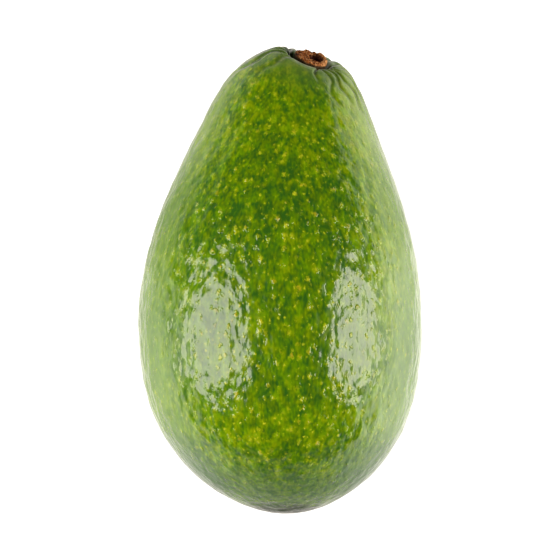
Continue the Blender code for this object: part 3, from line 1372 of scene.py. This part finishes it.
@dataclass
class Fruit:
    """The avocado itself: one closed skin that also lines the stem's socket.

    The rings near the stem lie closer together towards it. The others run to the far pole at a
    pace that is partly even and partly a power of the way.
    """

    form: Form
    folds: NeckFolds = NeckFolds()
    relief: Relief = Relief()
    finish: SkinFinish = SkinFinish()
    noise: Noise = Noise(11)
    columns: int = 380
    near_rings: int = 44
    near_reach: float = 13.0 * MM
    near_power: float = 1.5
    bracket: Range = (-0.6, 0.4)
    halvings: int = 40
    far_rings: int = 206
    walk_steps: int = 1500
    even_pace: float = 0.45
    power_pace: float = 0.55
    pace_power: float = 1.25
    pole_gap: float = 0.3
    socket_radius: float = 4.35 * MM
    socket_depth: float = 3.85 * MM
    floor_shares: tuple[float, ...] = (0.3, 0.65, 0.97)
    wall_shares: tuple[float, ...] = (0.02, 0.25, 0.5, 0.75)
    pit_power: int = 4
    fold_drop: float = 28.0 * MM
    calm_reach: Range = (5.0 * MM, 12.0 * MM)
    calm_relief: float = 0.35
    least_girth: float = 20.0 * MM

    def near_points(self) -> np.ndarray:
        """Rings round the stem, from the socket's edge out to near_reach.

        Each ring is a circle about the stem's axis. Its points are slid along that axis on to
        the skin by halving a bracket until the skin is met.

        Returns:
            The rings' points.
        """
        share = np.linspace(0.0, 1.0, self.near_rings) ** self.near_power
        reach = self.socket_radius + (self.near_reach - self.socket_radius) * share
        bearing = np.arange(self.columns) / self.columns * FULL_TURN
        radius, turn = np.meshgrid(reach, -bearing, indexing="ij")
        flat = np.stack((radius * np.cos(turn), radius * np.sin(turn)), axis=2).reshape(-1, 2)
        seat = self.form.seat()
        low = np.full(len(flat), self.bracket[0] * self.form.neck_radius)
        high = np.full(len(flat), self.bracket[1] * self.form.neck_radius)
        for _ in range(self.halvings):
            height = (low + high) / 2.0
            inside = self.form.fullness(moved(np.column_stack((flat, height)), seat)) < 1.0
            low = np.where(inside, height, low)
            high = np.where(inside, high, height)
        found = moved(np.column_stack((flat, low)), seat)
        return found.reshape(self.near_rings, self.columns, 3)

    def far_points(self, edge: np.ndarray) -> np.ndarray:
        """Rings from the last near ring to the far pole, along great circles of the unit sphere.

        Args:
            edge: The last near ring.

        Returns:
            The rings after it, closer together where the sphere's turn covers more skin.
        """
        start = self.form.directions(edge)
        pole = -np.mean(start, axis=0)
        pole /= np.linalg.norm(pole)
        span = np.arccos(np.clip(start @ pole, -1.0, 1.0))
        dense = np.linspace(0.0, 1.0, self.walk_steps)
        walk = self.form.skin(self.arcs(start[:1], pole, span[:1], dense)[:, 0])
        steps = np.linalg.norm(np.diff(walk, axis=0), axis=1)
        length = np.concatenate(([0.0], np.cumsum(steps)))
        way = np.linspace(0.0, 1.0, self.far_rings + 1)[1:]
        pace = self.even_pace * way + self.power_pace * way**self.pace_power
        wanted = length[-1] * pace * (1.0 - self.pole_gap / self.far_rings)
        shares = np.interp(wanted, length, dense)
        flat = self.arcs(start, pole, span, shares).reshape(-1, 3)
        return self.form.skin(flat).reshape(self.far_rings, self.columns, 3)

    @staticmethod
    def arcs(
        start: np.ndarray, pole: np.ndarray, span: np.ndarray, shares: np.ndarray
    ) -> np.ndarray:
        """Directions along the great circles from each start to the pole.

        It is the usual turning blend: sines of the two remaining angles over the sine of the
        whole.

        Args:
            start: Where the circles start.
            pole: Where they all end.
            span: The angle from each start to the pole.
            shares: Shares of the way, one for each ring.

        Returns:
            The directions, ring by ring.
        """
        angle = shares[:, None] * span[None, :]
        whole = np.sin(span)[None, :]
        first = (np.sin(span[None, :] - angle) / whole)[:, :, None] * start[None, :, :]
        return first + (np.sin(angle) / whole)[:, :, None] * pole[None, None, :]

    def polar(self, points: np.ndarray) -> tuple[np.ndarray, np.ndarray, np.ndarray]:
        """Places of points in the seat's frame.

        Args:
            points: Points in the fruit's frame.

        Returns:
            Their reach from the stem's axis, their bearing round it and their height.
        """
        local = moved(points, self.form.seat().inverted())
        reach = np.hypot(local[:, 0], local[:, 1])
        return reach, np.arctan2(local[:, 1], local[:, 0]), local[:, 2]

    def socket_rings(self, edge: np.ndarray) -> np.ndarray:
        """The socket's floor and wall, inside the first skin ring.

        Args:
            edge: The skin's first ring.

        Returns:
            Rings out over the level floor, and then straight up the wall.
        """
        local = moved(edge, self.form.seat().inverted())
        floor = -self.socket_depth
        turn = np.arctan2(local[:, 1], local[:, 0])
        rim = np.stack((np.cos(turn), np.sin(turn)), axis=1) * self.socket_radius
        rings = []
        for share in self.floor_shares:
            rings.append(np.column_stack((rim * share, np.full(len(rim), floor))))
        for share in self.wall_shares:
            rings.append(np.column_stack((rim, floor + (local[:, 2] - floor) * share)))
        return np.stack([moved(ring, self.form.seat()) for ring in rings])

    def pit(self, points: np.ndarray) -> np.ndarray:
        """How deep the plain form is sunk round the stem.

        The depth falls off as exp(-(distance / radius) to a power) from an axis that runs
        along the stem's, a little behind it.

        Args:
            points: Points of the plain form.

        Returns:
            The depth down the stem's axis.
        """
        seat = np.array(self.form.seat())
        back = points - (seat[:3, 3] + seat[:3, 1] * self.form.pit_back)
        off_axis = np.linalg.norm(back - (back @ seat[:3, 2])[:, None] * seat[:3, 2], axis=1)
        share = (off_axis / self.form.pit_radius) ** self.pit_power
        return self.form.pit_depth * np.exp(-share)

    def measures(
        self, grid: np.ndarray, reach: np.ndarray, fold: np.ndarray, socket_rings: int
    ) -> dict[str, np.ndarray]:
        """What the skin's material reads at each point.

        The share out to the flank is the distance from the bowed axis, seen from above, over
        the half width there.

        Args:
            grid: The plain form's rings.
            reach: Their points' reach from the stem's axis.
            fold: How deep in a fold they lie.
            socket_rings: How many rings of the socket come before them.

        Returns:
            The reach from the stem and from the tip in millimetres, the depth in the folds
            and the share of the way out to the flank.
        """
        tip = self.form.middle(np.array(-self.form.length / 2.0))
        tip_reach = np.linalg.norm(grid - tip, axis=-1) / MM
        along = 2.0 * grid[..., 1] / self.form.length
        girth = np.maximum(self.form.half_width(along), self.least_girth)
        flank = np.abs((grid - self.form.middle(grid[..., 1]))[..., 0]) / girth
        pad = np.zeros((socket_rings, self.columns))
        return {
            "stem_reach": np.concatenate((pad, reach.reshape(grid.shape[:2]) / MM)),
            "fold": np.concatenate((pad + 1.0, fold.reshape(grid.shape[:2]))),
            "tip_reach": np.concatenate((pad + FAR_OFF, tip_reach)),
            "flank": np.concatenate((pad, flank)),
        }

    def build(self) -> bpy.types.Object:
        """Makes the skin's mesh and lays it down.

        The plain form is sunk round the stem, raised by the folds and by the relief, laid down
        and pressed level where it rests.

        Returns:
            The finished piece.
        """
        near = self.near_points()
        grid = np.concatenate((near, self.far_points(near[-1])))
        flat = grid.reshape(-1, 3)
        reach, bearing, height = self.polar(flat)
        front = height > -self.form.length / 2.0
        fold, depth = self.folds.heights(reach, bearing)
        kept = smooth_step(-self.fold_drop, -0.5 * self.fold_drop, height)
        fold, depth = fold * kept, depth * kept
        axis = np.array(self.form.seat())[:3, 2]
        flat = flat + (fold - self.pit(flat) * front)[:, None] * axis

        stem_reach = np.where(front, reach, FAR_OFF * MM)
        calm = smooth_step(*self.calm_reach, stem_reach)
        relief = self.relief.heights(flat, self.noise)
        relief *= self.calm_relief + (1.0 - self.calm_relief) * calm
        surface = GridSurface(flat.reshape(grid.shape)).raised(relief.reshape(grid.shape[:2]))

        socket = self.socket_rings(surface.points[0])
        points = np.concatenate((socket, surface.points))
        laid = moved(points.reshape(-1, 3), self.form.lying())
        laid[:, 2] = np.maximum(laid[:, 2], CAD_BOX[0].z)
        measures = self.measures(grid, stem_reach, depth, len(socket))
        mesh = GridSurface(laid.reshape(points.shape)).mesh("fruit_skin", measures)
        mesh.materials.append(self.finish.material())
        return placed_piece("fruit_skin", mesh, "fruit")


@dataclass
class StemButton:
    """The dry cork plug: a granular face with a ragged hole, and a fibrous wall.

    Its own frame has the face's middle at zero and the stem's axis along Z. A heave lifts the
    face to one side of the hole.
    """

    form: Form
    finish: CorkFinish = CorkFinish()
    noise: Noise = Noise(5)
    radius: float = 4.2 * MM
    height: float = 3.9 * MM
    stand: float = 0.3 * MM
    edge: float = 0.45 * MM
    taper: float = 0.35 * MM
    columns: int = 150
    face_hub: float = 0.02
    face_rings: int = 58
    edge_rings: int = 8
    wall_rings: int = 22
    foot_hub: float = 0.05
    foot_rings: int = 6
    face_range: Range = (-0.6 * MM, -0.2 * MM)
    bark_range: Range = (-0.55 * MM, -0.15 * MM)
    hole_place: tuple[float, float] = (1.05 * MM, 1.05 * MM)
    hole_radius: float = 1.85 * MM
    hole_stretch: float = 1.3
    hole_depth: float = 2.2 * MM
    hole_range: Range = (0.75, 1.15)
    ragged: Swell = Swell(0.9 * MM, 0.35, 0.05)
    heave_place: tuple[float, float] = (2.0 * MM, 2.9 * MM)
    heave_width: float = 2.3 * MM
    heave: float = 0.80 * MM
    grains: tuple[Swell, ...] = (
        Swell(0.45 * MM, 0.22 * MM),
        Swell(1.1 * MM, 0.40 * MM, 0.02),
        Swell(2.6 * MM, 0.30 * MM, 0.09),
    )
    fibre: Swell = Swell(0.5 * MM, 0.16 * MM, 0.03, (1.0, 1.0, 3.0))
    outline: Swell = Swell(2.0 * MM, 0.25 * MM, 0.07, (1.0, 1.0, 9.0))
    side_share: float = 0.75

    def profile(self) -> np.ndarray:
        """Draws the side: face, round edge, tapering wall and foot.

        The edge is a quarter of a circle, and the wall narrows evenly down to the foot.

        Returns:
            A radius and a height for each ring.
        """
        flat = self.radius - self.edge
        face = np.linspace(self.face_hub, 1.0, self.face_rings) * flat
        turn = np.linspace(0.0, math.pi / 2.0, self.edge_rings + 1)[1:]
        wall = np.linspace(0.0, 1.0, self.wall_rings + 1)[1:]
        foot = np.linspace(1.0, self.foot_hub, self.foot_rings + 1)[1:]
        low = self.radius - self.taper
        radius = np.concatenate(
            (face, flat + self.edge * np.sin(turn), self.radius - self.taper * wall, low * foot)
        )
        level = np.concatenate(
            (
                np.zeros_like(face),
                self.edge * (np.cos(turn) - 1.0),
                -self.edge - (self.height - self.edge) * wall,
                np.full_like(foot, -self.height),
            )
        )
        return np.stack((radius, level), axis=1)

    def turned(self) -> np.ndarray:
        """Turns the profile round the axis.

        Returns:
            The points, ring by ring.
        """
        profile = self.profile()
        turn = -np.arange(self.columns) / self.columns * FULL_TURN
        x = profile[:, 0:1] * np.cos(turn)
        y = profile[:, 0:1] * np.sin(turn)
        z = np.repeat(profile[:, 1:2], self.columns, axis=1)
        return np.stack((x, y, z), axis=2)

    def hollow(self, points: np.ndarray) -> np.ndarray:
        """How far points lie inside the ragged hole.

        It is one less a smooth step over the distance from the hole's middle, which is
        squeezed along Y and taken as a share of the radius. Noise makes the radius uneven.

        Args:
            points: Points of the button.

        Returns:
            Shares from 0 outside it to 1 inside.
        """
        ragged = 1.0 + self.ragged.heights(points, self.noise)
        across = points[:, 0] - self.hole_place[0]
        beyond = (points[:, 1] - self.hole_place[1]) / self.hole_stretch
        away = np.hypot(across, beyond) / (self.hole_radius * ragged)
        return 1.0 - smooth_step(*self.hole_range, away)

    def lift(self, points: np.ndarray) -> np.ndarray:
        """How much the face is raised at points.

        The heave is the product of a bell along X and one along Y. The grains' swells are
        added to it.

        Args:
            points: Points of the button.

        Returns:
            Heights in metres.
        """
        heave = bell(points[:, 0] - self.heave_place[0], self.heave_width)
        heave *= bell(points[:, 1] - self.heave_place[1], self.heave_width) * self.heave
        return sum((swell.heights(points, self.noise) for swell in self.grains), heave)

    def widening(self, points: np.ndarray, wall: np.ndarray) -> np.ndarray:
        """How much the outline is drawn out at points.

        It is one plus an uneven height over the distance from the axis, and it fades in
        towards the wall.

        Args:
            points: Points of the button.
            wall: Their share of the fibrous wall.

        Returns:
            Factors for the distance from the axis.
        """
        out = np.hypot(points[:, 0], points[:, 1])
        side = smooth_step(self.side_share * self.radius, self.radius, out)
        uneven = self.fibre.heights(points, self.noise) * wall
        uneven += self.outline.heights(points, self.noise)
        return 1.0 + uneven * side / np.maximum(out, MM)

    def build(self) -> bpy.types.Object:
        """Turns the profile, roughens it with grains and sinks the hole into its face.

        Returns:
            The finished piece.
        """
        grid = self.turned()
        flat = grid.reshape(-1, 3)
        face = smooth_step(*self.face_range, flat[:, 2])
        hollow = self.hollow(flat) * face
        flat[:, 2] += face * self.lift(flat) - hollow * self.hole_depth
        bark = 1.0 - smooth_step(*self.bark_range, flat[:, 2] + hollow * self.hole_depth)
        flat[:, :2] *= self.widening(flat, 1.0 - face)[:, None]

        seat = self.form.lying() @ self.form.seat() @ Matrix.Translation((0.0, 0.0, self.stand))
        shape = grid.shape[:2]
        measures = {"hollow": hollow.reshape(shape), "wall": bark.reshape(shape)}
        surface = GridSurface(moved(flat, seat).reshape(grid.shape))
        mesh = surface.mesh("stem_cork", measures)
        mesh.materials.append(self.finish.material())
        return placed_piece("stem_cork", mesh, "stem_button")


def placed_piece(name: str, mesh: bpy.types.Mesh, node: str) -> bpy.types.Object:
    """Puts a finished mesh in the scene, in place of a CAD node.

    Args:
        name: The piece's name.
        mesh: Its mesh, with its material.
        node: The CAD node that it stands for.

    Returns:
        The piece.
    """
    made = bpy.data.objects.new(name, mesh)
    bpy.context.scene.collection.objects.link(made)
    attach(made, "root")
    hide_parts(node)
    return made


@dataclass(frozen=True)
class Softbox:
    """A soft area light that faces the fruit's middle.

    Its bearing is in radians from +X. It spans the angles from upper to lower, from the
    vertical, and reach to either side, all in degrees.
    """

    name: str
    bearing: float
    upper: float
    lower: float
    reach: float
    distance: float
    radiance: float
    outline: Outline = Outline.OVAL
    colour: Colour = (1.0, 0.925, 0.85)

    def build(self, middle: Vector) -> None:
        """Sets the light up to face the fruit's middle.

        Its power is its radiance times pi times its area. An oval's area is pi / 4 of the
        rectangle's round it.

        Args:
            middle: The fruit's middle.
        """
        upper, lower = math.radians(self.upper), math.radians(self.lower)
        lamp = bpy.data.lights.new(self.name, "AREA")
        lamp.shape = self.outline.value
        lamp.color = self.colour
        lamp.size = 2.0 * self.distance * math.tan(math.radians(self.reach))
        lamp.size_y = 2.0 * self.distance * math.tan((lower - upper) / 2.0)
        share = math.pi / 4.0 if self.outline is Outline.OVAL else 1.0
        lamp.energy = self.radiance * math.pi * lamp.size * lamp.size_y * share
        made = bpy.data.objects.new(self.name, lamp)
        tilt = (upper + lower) / 2.0
        level = Vector((math.cos(self.bearing), math.sin(self.bearing), 0.0))
        out = level * math.sin(tilt) + Vector((0.0, 0.0, math.cos(tilt)))
        made.location = middle + out * self.distance
        made.rotation_euler = (tilt, 0.0, self.bearing + math.pi / 2.0)
        made.visible_camera = False
        bpy.context.scene.collection.objects.link(made)


@dataclass(frozen=True)
class Surround:
    """The glow round the fruit, as a node group that the table and the room share.

    It gives how bright the studio is in a direction, for what is far off and for what is near,
    and how high up the room glows there. Far off it is brightest behind the right softbox, dim
    at the back left and dimmer in front. Near the fruit it is more even. The numbers are over
    the X or the Y of a level direction of length 1.
    """

    name: str = "surround"
    right: Range = (0.35, 0.8)
    left: Range = (-0.35, -0.8)
    front: Range = (-0.5, -0.85)
    back: Range = (0.5, 0.85)
    box_back: Range = (0.45, 0.15)
    box_front: Range = (-0.75, -0.45)
    far_right: Range = (1.3, 3.0)
    far_left: Slope = (0.35, -0.1, 0.10, 1.8)
    far_corner: Range = (-0.3, -0.7)
    far_corner_glow: float = -0.8
    far_front: float = 0.55
    far_back: float = 0.3
    near_right: Range = (0.9, 1.35)
    near_left: Slope = (0.45, -0.1, 0.4, 0.85)
    near_left_rise: Hump = (0.17, 0.10, 0.42)
    near_left_dip: Hump = (-0.05, 0.06, -0.18)
    near_front: float = 0.45
    near_back: float = 0.3
    height_back: Slope = (0.14, 0.36, 0.26, 0.09)
    height_front: Slope = (-0.40, -0.65, 0.0, -0.16)

    def place(self, kit: Nodes, direction: Socket) -> bpy.types.NodeOutputs:
        """Places the group, and makes it first if it is not there yet.

        Args:
            kit: Wires the nodes.
            direction: Where to look from the fruit.

        Returns:
            The group's outputs: Far, Near and Height.
        """
        tree = bpy.data.node_groups.get(self.name) or self.tree()
        made = kit.add("ShaderNodeGroup", node_tree=tree)
        kit.join(direction, made.inputs["Direction"])
        return made.outputs

    def tree(self) -> bpy.types.NodeTree:
        """Makes the group.

        Returns:
            The group's node tree.
        """
        tree = bpy.data.node_groups.new(self.name, "ShaderNodeTree")
        tree.interface.new_socket("Direction", in_out="INPUT", socket_type="NodeSocketVector")
        for name in ("Far", "Near", "Height"):
            tree.interface.new_socket(name, in_out="OUTPUT", socket_type="NodeSocketFloat")
        kit = Nodes(tree)
        direction = kit.add("NodeGroupInput").outputs["Direction"]
        level = kit.vector("MULTIPLY", direction, (1.0, 1.0, 0.0))
        x, y, _ = kit.parts(kit.vector("NORMALIZE", level))
        right, left = kit.ramp(x, *self.right), kit.ramp(x, *self.left)
        front, back = kit.ramp(y, *self.front), kit.ramp(y, *self.back)
        behind_box = kit.product(kit.ramp(y, *self.box_back), kit.ramp(y, *self.box_front))
        far = kit.total(
            kit.product(right, kit.between(behind_box, *self.far_right)),
            kit.product(left, kit.ramp(y, *self.far_left)),
            kit.product(left, kit.ramp(y, *self.far_corner), self.far_corner_glow),
            kit.product(front, self.far_front),
            kit.product(back, self.far_back),
        )
        near = kit.total(
            kit.product(right, kit.between(behind_box, *self.near_right)),
            kit.product(left, kit.ramp(y, *self.near_left)),
            kit.product(left, kit.hump(y, *self.near_left_rise)),
            kit.product(left, kit.hump(y, *self.near_left_dip)),
            kit.product(front, self.near_front),
            kit.product(back, self.near_back),
        )
        height = kit.total(kit.ramp(y, *self.height_back), kit.ramp(y, *self.height_front))
        ends = kit.add("NodeGroupOutput")
        kit.join(far, ends.inputs["Far"])
        kit.join(near, ends.inputs["Near"])
        kit.join(height, ends.inputs["Height"])
        return tree


@dataclass
class Studio:
    """What stands round the fruit, and a camera that looks straight down on it.

    There are two softboxes with their halos, a low front wall, a white table and a room that
    glows near the horizon. Ranges on the table are in millimetres from where the fruit rests.
    """

    boxes: tuple[Softbox, ...] = (
        Softbox(
            "softbox_left", bearing=3.13, upper=26.0, lower=81.5, reach=23.8,
            distance=0.60, radiance=7.2,
        ),
        Softbox(
            "softbox_right", bearing=-0.012, upper=45.0, lower=80.5, reach=22.5,
            distance=0.60, radiance=8.0,
        ),
        Softbox(
            "halo_left", bearing=math.pi, upper=18.0, lower=86.0, reach=23.0,
            distance=0.68, radiance=0.5,
        ),
        Softbox(
            "halo_right", bearing=0.03, upper=33.0, lower=84.0, reach=23.0,
            distance=0.68, radiance=0.5,
        ),
        Softbox(
            "wall_front", bearing=-math.pi / 2.0, upper=73.0, lower=92.0, reach=50.0,
            distance=1.40, radiance=0.42, outline=Outline.SQUARED,
        ),
    )
    surround: Surround = Surround()
    glow_colour: Colour = (1.0, 0.95, 0.89)
    floor_side: float = 16.0
    floor_glow: float = 0.80
    floor_white: float = 0.45
    floor_grey: float = 0.08
    grey_y: Range = (0.15, 0.45)
    grey_range: Range = (120.0, 300.0)
    glow_range: Range = (25.0, 48.0)
    far_range: Range = (60.0, 160.0)
    room_light: float = 0.01
    camera_height: float = 0.90
    view_width: float = 0.1418
    sensor: float = 36.0
    clip: Range = (0.05, 30.0)

    def middle(self) -> Vector:
        """The middle of the object's box."""
        return (CAD_BOX[0] + CAD_BOX[1]) / 2.0

    def floor(self) -> None:
        """A white table, which the camera sees plain white.

        What the fruit sees of it is brighter to either side, where the softboxes stand, and
        greyer far back.
        """
        half = self.floor_side / 2.0
        corners = [(-half, -half, 0.0), (half, -half, 0.0), (half, half, 0.0), (-half, half, 0.0)]
        mesh = bpy.data.meshes.new("table")
        mesh.from_pydata(corners, [], [(0, 1, 2, 3)])
        made = bpy.data.objects.new("table", mesh)
        bpy.context.scene.collection.objects.link(made)
        material = bpy.data.materials.new("table_white")
        material.use_nodes = True
        kit = Nodes(material.node_tree)
        shader = material.node_tree.nodes["Principled BSDF"]
        shader.inputs["Roughness"].default_value = 1.0
        shader.inputs["Specular IOR Level"].default_value = 0.0
        where = kit.where()
        out = kit.math("DIVIDE", kit.length(where), MM)
        around = self.surround.place(kit, where)
        glow = kit.ramp(out, *self.far_range, around["Near"], around["Far"])
        glow = kit.product(glow, kit.ramp(out, *self.glow_range))
        back = kit.ramp(kit.parts(kit.vector("NORMALIZE", where))["Y"], *self.grey_y)
        grey = kit.product(back, kit.ramp(out, *self.grey_range))
        white = kit.between(grey, self.floor_white, self.floor_grey)
        kit.feed(shader.inputs["Base Color"], white)
        strength, colour = self.shown(kit, glow, self.floor_glow)
        kit.join(strength, shader.inputs["Emission Strength"])
        kit.join(colour, shader.inputs["Emission Color"])
        mesh.materials.append(material)

    def shown(self, kit: Nodes, glow: Socket, plain: float) -> tuple[Socket, Socket]:
        """A glow that the camera sees as plain white.

        Args:
            kit: Wires the nodes.
            glow: How bright it is for all but the camera.
            plain: How bright it is for the camera.

        Returns:
            The glow's strength and its colour.
        """
        seen = kit.add("ShaderNodeLightPath").outputs["Is Camera Ray"]
        return kit.between(seen, glow, plain), kit.blend(seen, self.glow_colour, WHITE)

    def room(self) -> None:
        """A dark room, glowing low down, that the camera sees as plain white."""
        world = bpy.data.worlds.new("room")
        world.use_nodes = True
        bpy.context.scene.world = world
        kit = Nodes(world.node_tree)
        backdrop = world.node_tree.nodes["Background"]
        direction = kit.add("ShaderNodeTexCoord").outputs["Generated"]
        around = self.surround.place(kit, direction)
        low_down = kit.ramp(kit.parts(direction)["Z"], around["Height"], 0.0)
        glow = kit.total(kit.product(around["Far"], low_down), self.room_light)
        strength, colour = self.shown(kit, glow, 1.0)
        kit.join(strength, backdrop.inputs["Strength"])
        kit.join(colour, backdrop.inputs["Color"])

    def camera(self) -> None:
        """Looks straight down on the fruit, with the stem end upwards in the view."""
        data = bpy.data.cameras.new("camera")
        data.sensor_width = self.sensor
        data.lens = self.sensor * self.camera_height / self.view_width
        data.clip_start, data.clip_end = self.clip
        made = bpy.data.objects.new("camera", data)
        made.location = self.middle() + Vector((0.0, 0.0, self.camera_height))
        bpy.context.scene.collection.objects.link(made)
        bpy.context.scene.camera = made

    def build(self) -> None:
        """Sets up everything round the fruit."""
        self.floor()
        for box in self.boxes:
            box.build(self.middle())
        self.room()
        self.camera()
        bpy.context.scene.view_settings.view_transform = "Standard"


def main() -> None:
    """Builds the fruit, its button and the studio, and reports each."""
    logging.basicConfig(level=logging.INFO, format="%(name)s: %(message)s")
    form = Form()
    for piece in (Fruit(form), StemButton(form)):
        made = piece.build()
        LOG.info("%s: %d faces", made.name, len(made.data.polygons))
    Studio().build()
    LOG.info("studio is set")


if __name__ == "__main__":
    main()
